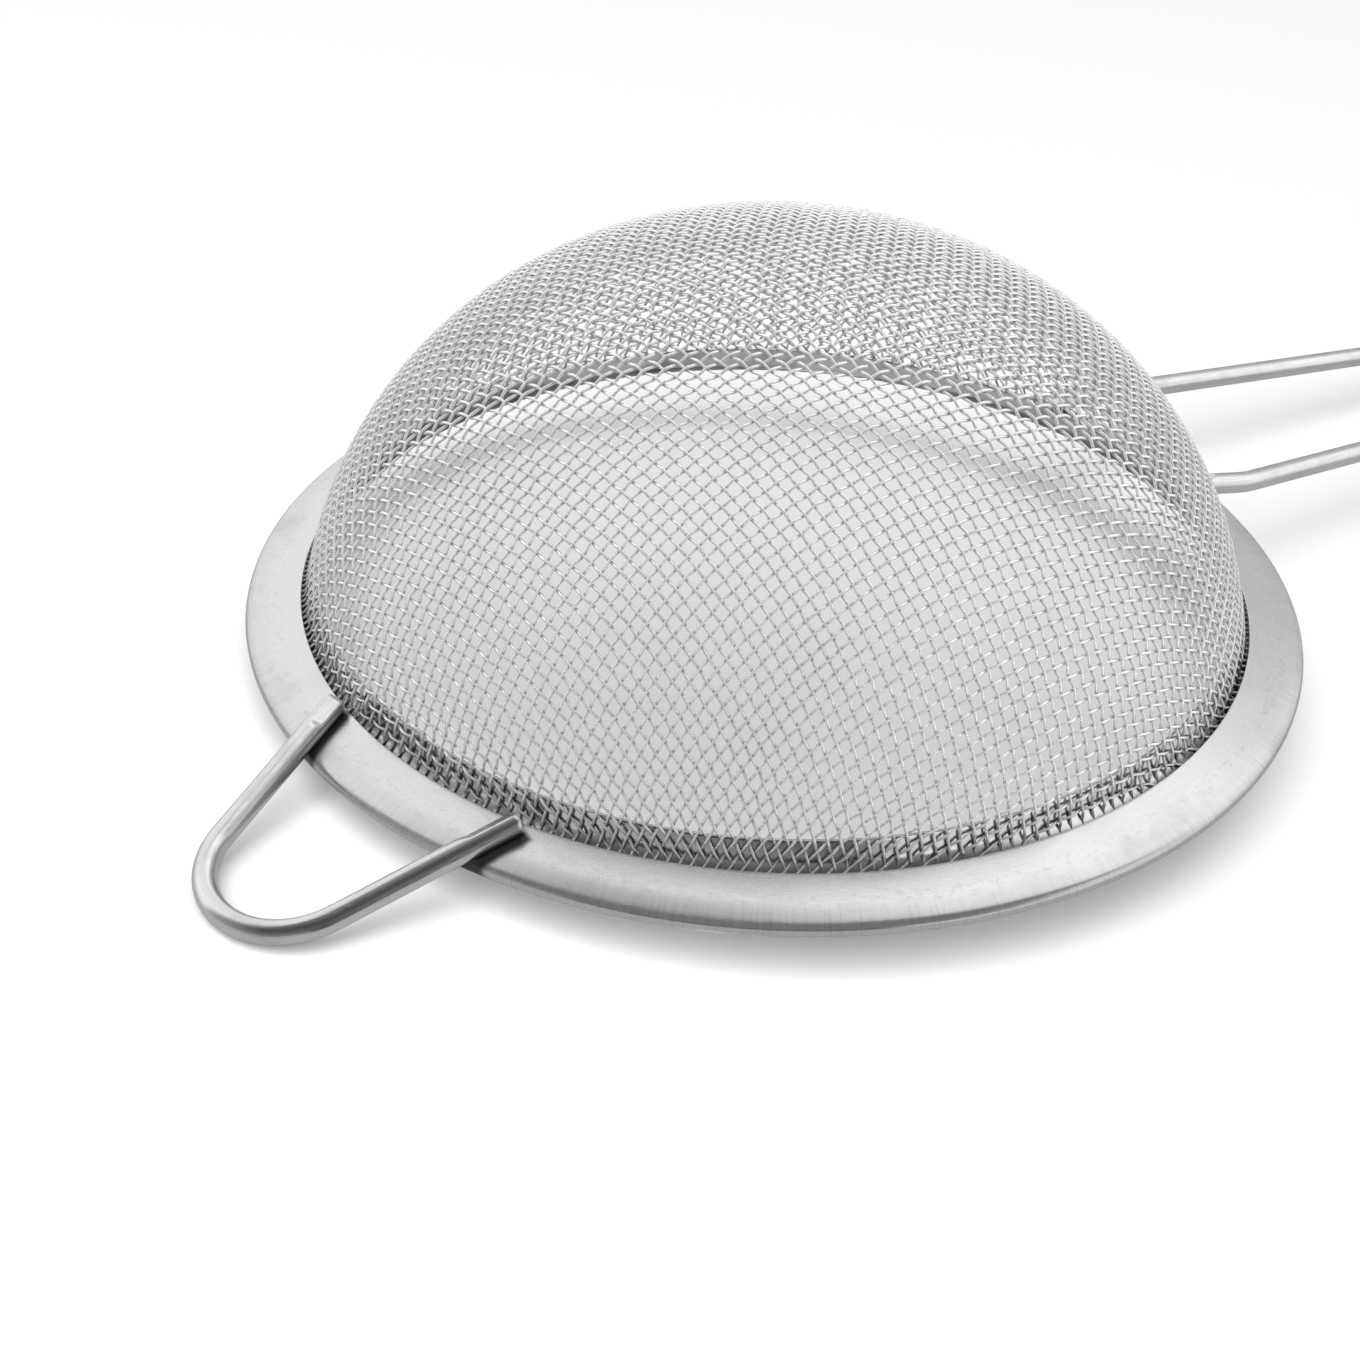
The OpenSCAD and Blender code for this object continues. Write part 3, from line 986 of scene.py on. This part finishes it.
def lay_floor(studio):
    """A pale floor that is plain white far off, with painted light that lightens its shadow behind the
    bowl.
    """
    size = 6.0
    ahead = Vector((-math.cos(studio.orbit), -math.sin(studio.orbit), 0))
    behind_bowl = ahead * (-floor_height(0) / math.tan(studio.rise))
    behind_bowl.z = floor_height(0)
    material, t = new_material("pale_floor")
    off = t.value("ShaderNodeVectorMath", {"operation": "DISTANCE"}, "Value",
                  i0=t.place(), i1=behind_bowl)
    depth = t.value("ShaderNodeVectorMath", {"operation": "DOT_PRODUCT"}, "Value",
                    i0=t.place(), i1=ahead)
    # Painted light: the panel behind the bowl glows an even grey, brighter further back, in place of
    # the floor's own shading seen through the bowl.
    panel = t.fade(off, 38 * MM, 32 * MM)
    far = t.fade(off, 250 * MM, 800 * MM)
    near_paper = t.mix(panel, (studio.floor_grey,) * 3, (studio.panel_grey,) * 3)
    paper = t.add("ShaderNodeBsdfDiffuse", Color=t.mix(far, near_paper, (0, 0, 0)))
    deeper = t.fade(depth, -15 * MM, 35 * MM) * 0.18
    added = deeper + (studio.panel_lift - studio.floor_lift)
    lift = (panel * added + studio.floor_lift + far).clamped()
    glow = t.add("ShaderNodeEmission", Color=(1, 1, 1, 1), Strength=looked_at(t) * lift)
    t.add("ShaderNodeOutputMaterial", Surface=t.add("ShaderNodeAddShader", i0=paper, i1=glow))
    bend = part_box("rest_loop")[0][0] - SLOPE_ON
    corners = [(x, y, floor_height(x)) for x in (-size, bend, size) for y in (-size, size)]
    stage_piece("floor", corners, [(0, 2, 3, 1), (2, 4, 5, 3)], material)


def hang_lights(studio):
    """An overhead softbox, and a room that is white where it is looked at."""
    world = bpy.data.worlds.new("white_room")
    bpy.context.scene.world = world
    world.use_nodes = True
    world.node_tree.nodes.clear()
    t = Tree(world.node_tree)
    strength = t.spread(looked_at(t), 0, 1, studio.fill, 1.0)
    room = t.add("ShaderNodeBackground", Color=(1, 1, 1, 1), Strength=strength)
    t.add("ShaderNodeOutputWorld", Surface=room)

    lamp = bpy.data.lights.new("softbox", "AREA")
    side, away, steepness = 1.4, 1.6, 1.7
    lamp.shape = "RECTANGLE"
    lamp.size = lamp.size_y = side
    lamp.energy = studio.softbox
    softbox = add_object("softbox", lamp)
    bearing = studio.orbit - 0.1
    over = Vector((math.cos(bearing), math.sin(bearing), steepness)).normalized()
    softbox.location = over * away
    softbox.rotation_mode = "QUATERNION"
    softbox.rotation_quaternion = (-over).to_track_quat("-Z", "Y")
    softbox.visible_glossy = False


def tent_tone(turn, sideways, rise, bearing):
    """Brightness of the tent: dark low down, bright overhead, with cards hung on it.

    Turn runs in degrees from the floor in front, over the top, to the floor behind.
    Sideways runs from -1 at the left to 1 at the right. Rise and bearing are degrees as
    seen from the bowl, the bearing from straight behind it.
    """
    edge = 92 + 15 * ramp(sideways, -0.5, -0.3) * (1 - ramp(sideways, -0.12, 0.1))
    near = (0.09 + 0.12 * (1 - ramp(turn, 5, 45)) + 0.12 * ramp(turn, 60, 92)
            + 0.25 * ramp(np.abs(sideways), 0.55, 0.95))
    bright = (1.08 + 0.3 * (1 - ramp(turn, 130, 150)) * ramp(sideways, -0.2, 0.3)
              + 0.14 * (1 - ramp(turn, 135, 150)) * (1 - ramp(sideways, -0.7, -0.5)))
    tone = near + (bright - near) * ramp(turn, edge - 9, edge + 9)
    white = (1 - ramp(turn, 70, 100)) * ramp(sideways, 0.72, 0.86)
    black = (1 - ramp(rise, 4, 12)) * ramp(bearing, -25, -12) * (1 - ramp(bearing, 22, 32))
    grey = (1 - ramp(rise, 32, 42)) * ramp(bearing, 7, 16) * (1 - ramp(bearing, 34, 46))
    for card_tone, card in ((1.1, white), (0.08, black), (0.6, grey * (1 - black))):
        tone = tone + (card_tone - tone) * card
    return tone


def hang_tent(studio):
    """A white tent with grey cards on it, which only shows as a reflection in metal."""
    radius = 1.2
    toward = np.array([math.cos(studio.orbit), math.sin(studio.orbit), 0])
    right = np.array([-toward[1], toward[0], 0])
    turns, leans = np.meshgrid(np.radians(np.linspace(-3, 183, 94)),
                               np.radians(np.linspace(-88, 88, 89)), indexing="ij")
    over = (np.cos(turns)[..., None] * toward + np.sin(turns)[..., None] * np.array([0, 0, 1]))
    places = np.cos(leans)[..., None] * over + np.sin(leans)[..., None] * right
    sideways = places @ right
    tone = tent_tone(np.degrees(turns), sideways, np.degrees(np.arcsin(places[..., 2])),
                     np.degrees(np.arctan2(sideways, -(places @ toward))))
    rows, columns = turns.shape
    i, j = np.meshgrid(np.arange(rows - 1), np.arange(columns - 1), indexing="ij")
    corner = i * columns + j
    quads = np.stack([corner, corner + 1, corner + columns + 1, corner + columns], -1)

    material, t = new_material("tent_cloth")
    scattered = t.add("ShaderNodeLightPath").outputs["Diffuse Depth"]
    glow = t.attribute("tone") * t.spread(scattered, 0, 1, 1.0, 0.35)
    t.add("ShaderNodeOutputMaterial",
          Surface=t.add("ShaderNodeEmission", Color=(1, 1, 1, 1), Strength=glow))
    material.cycles.emission_sampling = "NONE"
    tent = stage_piece("light_tent", (radius * places).reshape(-1, 3).tolist(),
                       quads.reshape(-1, 4).tolist(), material)
    layer = tent.data.attributes.new("tone", "FLOAT", "POINT")
    layer.data.foreach_set("value", tone.ravel().astype(np.float32))
    reflect_only(tent)


def place_flags(studio):
    """A low dark flag close to the rim and a grey card below, only seen as reflections."""
    flag_r = 64 * MM
    bearings = studio.orbit + np.radians(np.linspace(-24, 18, 33))
    flag = [(flag_r * math.cos(a), flag_r * math.sin(a), z)
            for a in bearings for z in (-8 * MM, 5 * MM)]
    flag_faces = [(k, k + 2, k + 3, k + 1) for k in range(0, len(flag) - 2, 2)]
    # The grey card is painted shade seen only in the metal: it darkens the reflected floor around the
    # strainer.
    # The card is a grid of three by four fields, open in the middle under the bowl.
    xs = (-0.2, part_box("rest_loop")[0][0] - SLOPE_ON, -0.03, 0.03, 0.2)
    ys = (-0.07, -0.03, 0.03, 0.07)
    card = [(x, y, floor_height(x) + 0.1 * MM) for x in xs for y in ys]
    card_faces = [(4 * i + j, 4 * i + 4 + j, 4 * i + 5 + j, 4 * i + 1 + j)
                  for i in range(4) for j in range(3) if (i, j) != (2, 1)]
    for name, corners, faces, grey in (("low_flag", flag, flag_faces, 0.06),
                                       ("grey_card", card, card_faces, 0.5)):
        material, t = new_material(name)
        t.add("ShaderNodeOutputMaterial",
              Surface=t.add("ShaderNodeBsdfDiffuse", Color=(grey, grey, grey, 1)))
        reflect_only(stage_piece(name, corners, faces, material))


def turned(first, second, a):
    """Two crossed directions, turned by an angle from the first towards the second."""
    return (math.cos(a) * first + math.sin(a) * second,
            math.cos(a) * second - math.sin(a) * first)


def place_camera(studio):
    """A camera on a circle round the bowl's axis, aimed a little off the circle's centre."""
    centre_z, film_width = 0.38 * MM, 36
    orbit, rise = studio.orbit, studio.rise
    back = Vector((math.cos(rise) * math.cos(orbit), math.cos(rise) * math.sin(orbit),
                   math.sin(rise)))
    ahead = -back
    right = ahead.cross(Vector((0, 0, 1))).normalized()
    up = right.cross(ahead)
    ahead, right = turned(ahead, right, studio.aim_turn)
    ahead, up = turned(ahead, up, studio.aim_tilt)
    right, up = turned(right, up, studio.aim_roll)
    data = bpy.data.cameras.new("camera")
    data.lens = studio.lens
    data.sensor_width = film_width
    data.clip_start, data.clip_end = 0.01, 50
    camera = add_object("camera", data)
    place = Matrix.Translation(back * studio.distance + Vector((0, 0, centre_z)))
    camera.matrix_world = place @ Matrix((right, up, -ahead)).transposed().to_4x4()
    bpy.context.scene.camera = camera


# ---------------------------------------------------------------- operators

class STRAINER_OT_fold_flange(Operator):
    """Press the upper ring and fold its edge under"""
    bl_idname = "strainer.fold_flange"
    bl_label = "Fold the flange"

    def execute(self, context):
        rim = context.scene.strainer_rim
        s = rim_shape()
        up = math.pi / 2
        lip_r, lip_turn = s.crown_r - 2 * s.fold_r, rim.fold_width / s.crown_r
        path = along_line(s.knee, polar(-s.fall), s.flange_l, polar(up - s.fall), step=0.25 * MM)
        path += along_arc(s.crown_c, s.crown_r, up - s.fall, up - s.edge, step=1 * DEG)
        path += along_arc(s.fold_c, s.fold_r, up - s.edge, -up - s.edge, step=6 * DEG)
        path += along_arc(s.crown_c, lip_r, up - s.edge, up - s.edge + lip_turn,
                          step=2.5 * DEG, outward=-1)
        outline = sheet_outline(path, s.t, rim.cut_edge)
        # The fold is worn to a narrow flat, which the rim stands on at height 0.
        outline[:, 1] = np.maximum(outline[:, 1], 0)
        wave = uneven_press(rim.wobble, rim.seed)

        def lift(r, a):
            # Both edges of the flange are held true, and its middle strays the most.
            share = np.clip((r - s.wall_r) / (s.rim_r - s.wall_r), 0, 1)
            return wave(a) * share * (1 - share) * 4

        piece = turn_ring("flange", outline, rim.segments, lift)
        wires = context.scene.strainer_wires
        legs = wire_ends(rest_loop_path(s, wires)) + wire_ends(handle_path(s, wires))
        finish_piece(piece, "flange_ring",
                     rim_sheet_steel(context.scene.strainer_steel, s, legs))
        return {"FINISHED"}


class STRAINER_OT_press_collar(Operator):
    """Press the lower ring: an upright collar inside the cloth and a flat held in the fold"""
    bl_idname = "strainer.press_collar"
    bl_label = "Press the collar"

    def execute(self, context):
        rim = context.scene.strainer_rim
        s = rim_shape()
        up = math.pi / 2
        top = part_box("collar_ring")[1][2]
        rise = (top - s.knee[1]) / math.cos(s.collar_lean)
        inner = s.stack - s.t
        wall, flat = polar(s.collar_lean), polar(up - s.fall)
        centre = s.knee + (rim.foot_bend - inner) * (wall + flat) / (1 + np.dot(wall, flat))
        upwards, outwards = polar(up + s.collar_lean), polar(-s.fall)
        rise -= s.t * math.tan(s.collar_lean)
        path = along_line(s.knee - inner * wall + rise * upwards, -upwards,
                          rise - np.dot(centre - s.knee, upwards), wall, step=0.2 * MM)
        path += along_arc(centre, rim.foot_bend, math.pi + s.collar_lean,
                          1.5 * math.pi - s.fall, step=4 * DEG, outward=-1)
        start = np.dot(centre - s.knee, outwards)
        path += along_line(s.knee - inner * flat + start * outwards, outwards,
                           s.flange_l - start, flat, step=0.25 * MM)
        path += along_arc(s.crown_c, s.crown_r - inner, up - s.fall,
                          up - s.edge + rim.fold_gap / s.crown_r, step=1 * DEG)
        outline = sheet_outline(path, s.t, rim.cut_edge)
        piece = turn_ring("collar", outline, rim.segments)
        finish_piece(piece, "collar_ring",
                     collar_steel(context.scene.strainer_steel, s))
        return {"FINISHED"}


class STRAINER_OT_weave_cloth(Operator):
    """Drape a plain weave over the bowl and tuck its edge in between the rings"""
    bl_idname = "strainer.weave_cloth"
    bl_label = "Weave the cloth"

    def execute(self, context):
        cloth = context.scene.strainer_cloth
        shape = rim_shape()
        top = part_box("mesh_bowl")[1][2] - cloth.wire
        lowest = -0.8 * MM
        bowl = Bowl(shape.foot, top, cloth.wall_lean, cloth.crown_half)
        net = drape_net(bowl, (cloth.warp_pitch, cloth.weft_pitch),
                        (cloth.warp_turn, cloth.warp_turn + cloth.skew), lowest)
        draw = np.random.default_rng(cloth.seed)
        net += draw.normal(0, cloth.straying, net.shape)
        known = np.isfinite(net[..., 0])
        off, normals = bowl.measure(net[known])
        net[known] -= off[:, None] * normals
        steel = cloth_steel(context.scene.strainer_steel)
        tree = cloth_tree()
        values = {"Wire": cloth.wire, "Sides": cloth.sides, "Steps": cloth.steps, "Steel": steel}
        tuck_l = shape.flange_l - cloth.tuck_short
        pieces, reels = 3, 100
        for family, label in enumerate(("warp", "weft")):
            wires = lay_wires(net, bowl, shape, tuck_l, family)
            # Each piece gets about the same number of crossings.
            crossings = np.cumsum([len(wire) for wire in wires])
            numbers = np.minimum(pieces * crossings // (crossings[-1] + 1), pieces - 1)
            for number in range(pieces):
                chosen = [wire for wire, its in zip(wires, numbers) if its == number]
                piece = wire_lines(f"{label}_wires_{number + 1}", chosen, reels * number)
                run_tree(piece, tree, values)
                finish_piece(piece, "mesh_bowl", steel)
        return {"FINISHED"}


class STRAINER_OT_bend_rest_loop(Operator):
    """Bend the short loop that rests on a cup's rim and weld it to the flange"""
    bl_idname = "strainer.bend_rest_loop"
    bl_label = "Bend the rest loop"

    def execute(self, context):
        path = rest_loop_path(rim_shape(), context.scene.strainer_wires)
        flats = (0.22 * MM, 4.6 * MM, 30 * DEG), (0.2 * MM, 3.4 * MM, -18 * DEG)
        bend_wire("rest_loop_wire", "rest_loop", path, flats)
        return {"FINISHED"}


class STRAINER_OT_bend_handle(Operator):
    """Bend the long handle and weld its two legs to the flange"""
    bl_idname = "strainer.bend_handle"
    bl_label = "Bend the handle"

    def execute(self, context):
        path = handle_path(rim_shape(), context.scene.strainer_wires)
        flats = (0.2 * MM, 3.6 * MM, 8 * DEG), (0.22 * MM, 4 * MM, -6 * DEG)
        bend_wire("handle_bent_wire", "handle_wire", path, flats)
        return {"FINISHED"}


class STRAINER_OT_set_stage(Operator):
    """Lay the floor, hang the lights and place the camera"""
    bl_idname = "strainer.set_stage"
    bl_label = "Set the stage"

    def execute(self, context):
        studio = context.scene.strainer_studio
        context.scene.view_settings.view_transform = "Standard"
        lay_floor(studio)
        hang_lights(studio)
        hang_tent(studio)
        place_flags(studio)
        place_camera(studio)
        return {"FINISHED"}


class STRAINER_PT_panel(Panel):
    """Runs the steps that make the strainer and shows their settings"""
    bl_idname = "STRAINER_PT_panel"
    bl_label = "Tea strainer"
    bl_space_type = "VIEW_3D"
    bl_region_type = "UI"
    bl_category = "Strainer"

    def draw(self, context):
        for operator in OPERATORS:
            self.layout.operator(operator.bl_idname)
        for name in SETTINGS:
            box = self.layout.box()
            group = getattr(context.scene, name)
            box.label(text=group.__doc__ or name)
            for key in group.__annotations__:
                box.prop(group, key)


SETTINGS = {
    "strainer_rim": RimSettings,
    "strainer_cloth": ClothSettings,
    "strainer_wires": BentWireSettings,
    "strainer_steel": SteelSettings,
    "strainer_studio": StudioSettings,
}
OPERATORS = (
    STRAINER_OT_fold_flange,
    STRAINER_OT_press_collar,
    STRAINER_OT_weave_cloth,
    STRAINER_OT_bend_rest_loop,
    STRAINER_OT_bend_handle,
    STRAINER_OT_set_stage,
)


def register():
    for name, group in SETTINGS.items():
        bpy.utils.register_class(group)
        setattr(bpy.types.Scene, name, PointerProperty(type=group))
    for operator in OPERATORS:
        bpy.utils.register_class(operator)
    bpy.utils.register_class(STRAINER_PT_panel)


def unregister():
    bpy.utils.unregister_class(STRAINER_PT_panel)
    for operator in reversed(OPERATORS):
        bpy.utils.unregister_class(operator)
    for name, group in reversed(SETTINGS.items()):
        delattr(bpy.types.Scene, name)
        bpy.utils.unregister_class(group)


def main():
    register()
    bpy.ops.strainer.fold_flange()
    bpy.ops.strainer.press_collar()
    bpy.ops.strainer.weave_cloth()
    bpy.ops.strainer.bend_rest_loop()
    bpy.ops.strainer.bend_handle()
    bpy.ops.strainer.set_stage()


if __name__ == "__main__":
    main()
